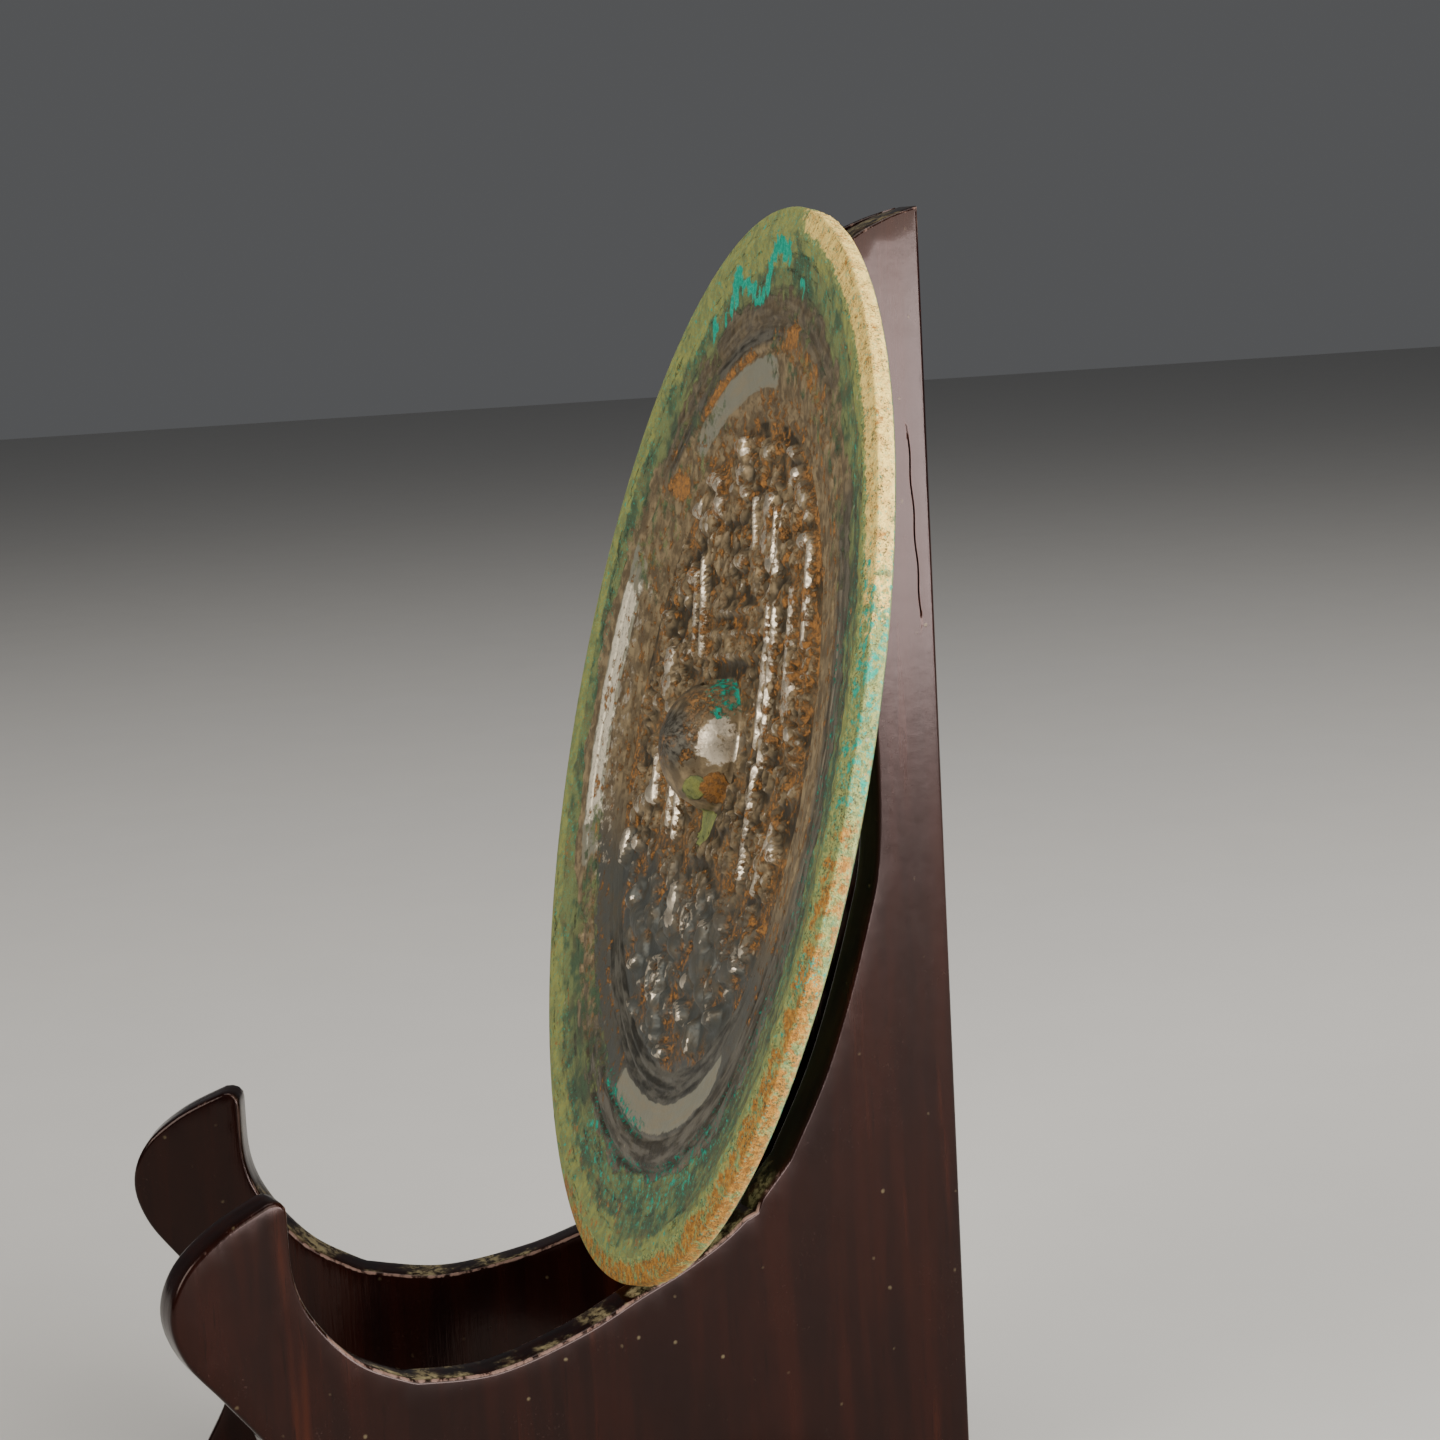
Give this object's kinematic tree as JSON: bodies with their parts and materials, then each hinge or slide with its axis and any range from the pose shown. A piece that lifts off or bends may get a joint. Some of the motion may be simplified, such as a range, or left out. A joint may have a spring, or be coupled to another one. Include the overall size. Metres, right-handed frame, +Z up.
{
  "type": "bronze mirror in folding wooden stand",
  "caption": "Round cast bronze mirror with a domed knob and carved figures, resting upright in a low folding stand made of wooden boards.",
  "frame": {"origin": "centre of the whole object's box, on the surface that the stand's feet rest on", "axes": "+Z up; the mirror's decorated face looks towards -Y and leans back; +X is across the mirror, to the right of a viewer who faces the decorated side"},
  "size_m": [0.1306, 0.1012, 0.1607],
  "materials": {
    "bronze": "cast bronze with green and ochre corrosion on the rim, worn glossy relief",
    "wood": "dark red-brown lacquered hardwood, satin, scuffed on its edges"
  },
  "bodies": {
    "right_side": {"right_board": "wood", "mirror": "bronze"},
    "left_side": {"left_board": "wood"}
  },
  "joints": [
    {"name": "stand_fold", "type": "hinge", "parent": "right_side", "child": "left_side", "pos_m": [0, 0.04832, 0.08], "axis": [0, 0, -1], "range_deg": [0, 25]}
  ]
}
